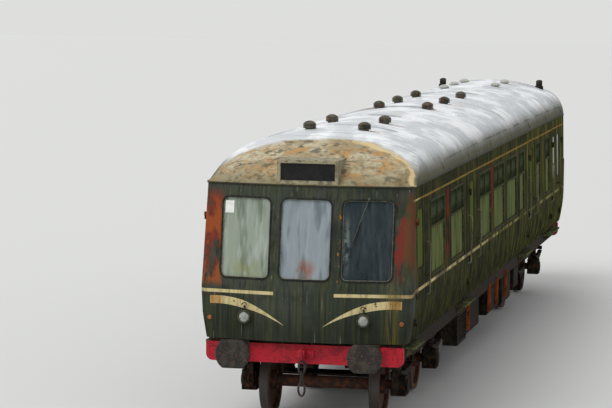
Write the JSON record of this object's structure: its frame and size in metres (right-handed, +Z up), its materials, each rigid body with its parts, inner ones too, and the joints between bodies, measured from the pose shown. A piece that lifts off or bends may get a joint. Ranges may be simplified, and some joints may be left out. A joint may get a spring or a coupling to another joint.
{
  "type": "diesel railcar driving coach",
  "caption": "Self-propelled passenger coach on swivelling bogies, with a driving cab, saloons, a van end and hinged side doors.",
  "frame": {"origin": "under the middle of the coach's length and width, level with the tips of the wheel flanges", "axes": "+X towards the cab end, +Y to the coach's left side, +Z up"},
  "size_m": [18.49, 2.942, 3.9713],
  "materials": {
    "green_paint": "weathered satin",
    "roof_paint": "chalky matt",
    "vent_metal": "lichened matt",
    "exhaust_steel": "sooty matt",
    "frame_paint": "weathered satin",
    "window_glass": "dirty",
    "cab_window_glass": "dirty",
    "lino": "worn",
    "veneer": "satin varnish",
    "moquette": "woven pile",
    "black_iron": "greasy matt",
    "wheel_steel": "rusty, with bright treads",
    "red_paint": "faded satin",
    "buffer_steel": "greasy",
    "bellows": "dull",
    "box_paint": "dusty matt",
    "desk_paint": "satin",
    "sign_paint": "faded satin",
    "lamp_paint": "weathered satin",
    "rail_paint": "worn",
    "step_wood": "weathered"
  },
  "bodies": {
    "body": {"left_side": "green_paint", "right_side": "green_paint", "cab_front": "green_paint", "rear_end": "green_paint", "roof": "roof_paint", "roof_vents": "vent_metal", "exhaust_pipes": "exhaust_steel", "destination_box": "sign_paint", "window_frames": "frame_paint", "side_glass": "window_glass", "cab_glass": "cab_window_glass", "floor": "lino", "partitions": "veneer", "seats": "moquette", "cab_controls": "desk_paint", "solebars": "black_iron", "cross_members": "black_iron", "buffer_beams": "red_paint", "buffers": "buffer_steel", "gangway": "bellows", "engines": "black_iron", "radiators": "box_paint", "equipment_boxes": "box_paint", "air_reservoirs": "box_paint", "footsteps": "step_wood", "marker_lamps": "lamp_paint", "grab_rails": "rail_paint"},
    "gangway_door": {"gangway_door": "green_paint"},
    "cab_door_left": {"cab_door_left": "green_paint"},
    "cab_door_right": {"cab_door_right": "green_paint"},
    "front_saloon_door_left": {"front_saloon_door_left": "green_paint"},
    "front_saloon_door_right": {"front_saloon_door_right": "green_paint"},
    "rear_saloon_door_left": {"rear_saloon_door_left": "green_paint"},
    "rear_saloon_door_right": {"rear_saloon_door_right": "green_paint"},
    "van_front_leaf_left": {"van_front_leaf_left": "green_paint"},
    "van_front_leaf_right": {"van_front_leaf_right": "green_paint"},
    "van_rear_leaf_left": {"van_rear_leaf_left": "green_paint"},
    "van_rear_leaf_right": {"van_rear_leaf_right": "green_paint"},
    "bogie_front": {"bogie_frame_front": "black_iron", "axleboxes_front": "black_iron"},
    "wheelset_1": {"wheelset_1": "wheel_steel"},
    "wheelset_2": {"wheelset_2": "wheel_steel"},
    "bogie_rear": {"bogie_frame_rear": "black_iron", "axleboxes_rear": "black_iron"},
    "wheelset_3": {"wheelset_3": "wheel_steel"},
    "wheelset_4": {"wheelset_4": "wheel_steel"}
  },
  "joints": [
    {"name": "cab_door_left_hinge", "type": "hinge", "parent": "body", "child": "cab_door_left", "pos_m": [8.474, 1.422, 2.1], "axis": [0, 0, -1], "range_deg": [0, 90]},
    {"name": "cab_door_right_hinge", "type": "hinge", "parent": "body", "child": "cab_door_right", "pos_m": [8.474, -1.422, 2.1], "axis": [0, 0, 1], "range_deg": [0, 90]},
    {"name": "front_saloon_door_left_hinge", "type": "hinge", "parent": "body", "child": "front_saloon_door_left", "pos_m": [3.725, 1.422, 2.1], "axis": [0, 0, -1], "range_deg": [0, 90]},
    {"name": "front_saloon_door_right_hinge", "type": "hinge", "parent": "body", "child": "front_saloon_door_right", "pos_m": [3.725, -1.422, 2.1], "axis": [0, 0, 1], "range_deg": [0, 90]},
    {"name": "rear_saloon_door_left_hinge", "type": "hinge", "parent": "body", "child": "rear_saloon_door_left", "pos_m": [-3.385, 1.422, 2.1], "axis": [0, 0, -1], "range_deg": [0, 90]},
    {"name": "rear_saloon_door_right_hinge", "type": "hinge", "parent": "body", "child": "rear_saloon_door_right", "pos_m": [-3.385, -1.422, 2.1], "axis": [0, 0, 1], "range_deg": [0, 90]},
    {"name": "van_front_leaf_left_hinge", "type": "hinge", "parent": "body", "child": "van_front_leaf_left", "pos_m": [-6.785, 1.422, 2.1], "axis": [0, 0, -1], "range_deg": [0, 90]},
    {"name": "van_front_leaf_right_hinge", "type": "hinge", "parent": "body", "child": "van_front_leaf_right", "pos_m": [-6.785, -1.422, 2.1], "axis": [0, 0, 1], "range_deg": [0, 90]},
    {"name": "van_rear_leaf_left_hinge", "type": "hinge", "parent": "body", "child": "van_rear_leaf_left", "pos_m": [-8.181, 1.422, 2.1], "axis": [0, 0, 1], "range_deg": [0, 90]},
    {"name": "van_rear_leaf_right_hinge", "type": "hinge", "parent": "body", "child": "van_rear_leaf_right", "pos_m": [-8.181, -1.422, 2.1], "axis": [0, 0, -1], "range_deg": [0, 90]},
    {"name": "gangway_door_hinge", "type": "hinge", "parent": "body", "child": "gangway_door", "pos_m": [-8.696, 0.35, 2.2], "axis": [0, 0, 1], "range_deg": [0, 90]},
    {"name": "bogie_front_swivel", "type": "hinge", "parent": "body", "child": "bogie_front", "pos_m": [6.095, 0, 0.96], "axis": [0, 0, 1], "range_deg": [-6, 6]},
    {"name": "wheelset_1_spin", "type": "hinge", "parent": "bogie_front", "child": "wheelset_1", "pos_m": [7.39, 0, 0.485], "axis": [0, 1, 0], "continuous": true},
    {"name": "wheelset_2_spin", "type": "hinge", "parent": "bogie_front", "child": "wheelset_2", "pos_m": [4.8, 0, 0.485], "axis": [0, 1, 0], "continuous": true},
    {"name": "bogie_rear_swivel", "type": "hinge", "parent": "body", "child": "bogie_rear", "pos_m": [-6.095, 0, 0.96], "axis": [0, 0, 1], "range_deg": [-6, 6]},
    {"name": "wheelset_3_spin", "type": "hinge", "parent": "bogie_rear", "child": "wheelset_3", "pos_m": [-4.8, 0, 0.485], "axis": [0, 1, 0], "continuous": true},
    {"name": "wheelset_4_spin", "type": "hinge", "parent": "bogie_rear", "child": "wheelset_4", "pos_m": [-7.39, 0, 0.485], "axis": [0, 1, 0], "continuous": true}
  ]
}
